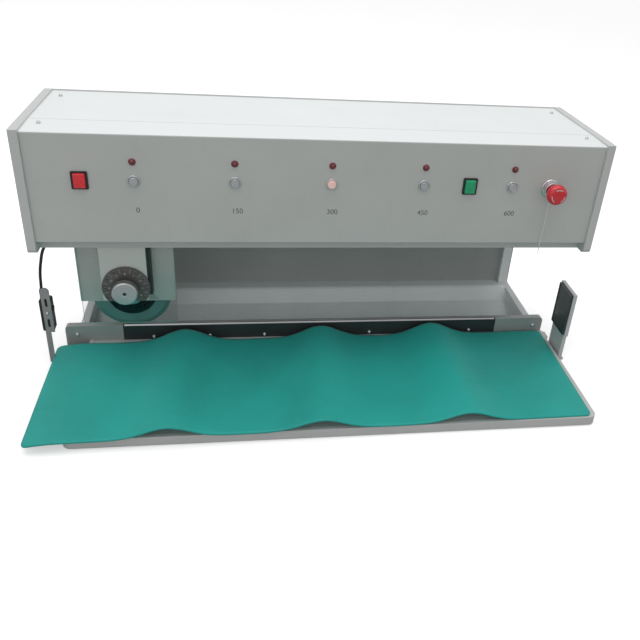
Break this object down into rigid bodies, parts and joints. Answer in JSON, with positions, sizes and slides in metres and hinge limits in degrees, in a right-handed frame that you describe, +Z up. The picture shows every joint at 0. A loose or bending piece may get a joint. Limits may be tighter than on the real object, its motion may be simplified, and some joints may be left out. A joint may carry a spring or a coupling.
{
  "type": "pcb depaneling machine",
  "caption": "Benchtop machine with a round blade on a belt-driven carriage that rolls along a straight blade to part scored circuit boards over a matted tray.",
  "frame": {"origin": "centre of the floor rectangle under the whole machine, on the surface that it stands on", "axes": "+X to the operator's right along the blades, +Y from the operator to the back, +Z up"},
  "size_m": [0.946, 0.4468, 0.4356],
  "materials": {
    "grey_paint": "satin",
    "white_paint": "satin",
    "machined": "machined",
    "steel": "ground",
    "dark_steel": "blackened",
    "black_plastic": "moulded",
    "rubber": "matt",
    "mat_green": "matt",
    "acrylic": "clear",
    "red_lens": "gloss",
    "green_lens": "gloss",
    "reflector": "prismatic",
    "circuit_board": "soldered",
    "zinc_plate": "perforated",
    "string_white": "twisted"
  },
  "bodies": {
    "frame": {"base_plate": "white_paint", "side_plates": "white_paint", "front_beam": "machined", "blade_holder": "dark_steel", "straight_blade": "steel", "chute": "white_paint", "back_plate": "white_paint", "uprights": "white_paint", "tray": "white_paint", "rubber_mat": "mat_green", "rubber_feet": "rubber", "front_panel": "grey_paint", "top_cover": "white_paint", "end_plate_left": "white_paint", "end_plate_right": "white_paint", "rail_beam": "machined", "linear_rails": "steel", "motor": "dark_steel", "motor_bracket": "grey_paint", "idler_bracket": "grey_paint", "drive_belt": "rubber", "power_supply": "zinc_plate", "control_board": "circuit_board", "position_sensors": "black_plastic", "button_rings": "steel", "indicator_lamps": "red_lens", "switch_frames": "black_plastic", "estop_collar": "steel", "mains_inlet": "black_plastic", "screws": "steel", "sensor_bracket": "steel", "sensor": "black_plastic", "sensor_lead": "rubber", "lead_junction": "black_plastic", "reflector_bracket": "steel", "reflector": "reflector", "tag_string": "string_white"},
    "carriage": {"saddle": "machined", "rail_blocks": "steel", "head_arm": "machined", "head_plate": "machined", "adjuster_block": "machined", "slide_gib": "dark_steel", "index_dial": "dark_steel", "blade_guard": "acrylic", "belt_clamp": "machined", "spindle_housing": "machined", "spindle_bearings": "steel"},
    "blade": {"spindle": "steel", "blade_flange": "dark_steel", "round_blade": "steel"},
    "knob": {"adjusting_knob": "steel"},
    "drive_pulley": {"drive_pulley": "machined"},
    "idler_pulley": {"idler_pulley": "machined"},
    "red_switch": {"red_switch": "red_lens"},
    "green_switch": {"green_switch": "green_lens"},
    "estop_head": {"estop_head": "red_lens"},
    "button_0": {"button_0": "steel"},
    "button_1": {"button_1": "steel"},
    "button_2": {"button_2": "steel"},
    "button_3": {"button_3": "steel"},
    "button_4": {"button_4": "steel"}
  },
  "joints": [
    {"name": "carriage_slide", "type": "slide", "parent": "frame", "child": "carriage", "axis": [1, 0, 0], "range_m": [0, 0.64]},
    {"name": "blade_spin", "type": "hinge", "parent": "carriage", "child": "blade", "pos_m": [-0.329, 0.0615, 0.1166], "axis": [0, 1, 0], "continuous": true},
    {"name": "knob_turn", "type": "hinge", "parent": "carriage", "child": "knob", "pos_m": [-0.329, 0.0005, 0.155], "axis": [0, 1, 0], "range_deg": [0, 330]},
    {"name": "drive_pulley_spin", "type": "hinge", "parent": "frame", "child": "drive_pulley", "pos_m": [0.415, 0.0895, 0.33], "axis": [0, 1, 0], "continuous": true},
    {"name": "idler_pulley_spin", "type": "hinge", "parent": "frame", "child": "idler_pulley", "pos_m": [-0.429, 0.0895, 0.33], "axis": [0, 1, 0], "continuous": true},
    {"name": "button_0_press", "type": "slide", "parent": "frame", "child": "button_0", "axis": [0, 1, 0], "range_m": [0, 0.003], "stiffness_N_per_m": 500},
    {"name": "button_1_press", "type": "slide", "parent": "frame", "child": "button_1", "axis": [0, 1, 0], "range_m": [0, 0.003], "stiffness_N_per_m": 500},
    {"name": "button_2_press", "type": "slide", "parent": "frame", "child": "button_2", "axis": [0, 1, 0], "range_m": [0, 0.003], "stiffness_N_per_m": 500},
    {"name": "button_3_press", "type": "slide", "parent": "frame", "child": "button_3", "axis": [0, 1, 0], "range_m": [0, 0.003], "stiffness_N_per_m": 500},
    {"name": "button_4_press", "type": "slide", "parent": "frame", "child": "button_4", "axis": [0, 1, 0], "range_m": [0, 0.003], "stiffness_N_per_m": 500},
    {"name": "red_switch_press", "type": "slide", "parent": "frame", "child": "red_switch", "axis": [0, 1, 0], "range_m": [0, 0.003], "stiffness_N_per_m": 500},
    {"name": "green_switch_press", "type": "slide", "parent": "frame", "child": "green_switch", "axis": [0, 1, 0], "range_m": [0, 0.003], "stiffness_N_per_m": 500},
    {"name": "estop_press", "type": "slide", "parent": "frame", "child": "estop_head", "axis": [0, 1, 0], "range_m": [0, 0.005]}
  ],
  "couplings": [
    {"joint": "blade_spin", "follows": "carriage_slide", "rad_per_m": 14.706},
    {"joint": "drive_pulley_spin", "follows": "carriage_slide", "rad_per_m": 60},
    {"joint": "idler_pulley_spin", "follows": "carriage_slide", "rad_per_m": 60}
  ]
}
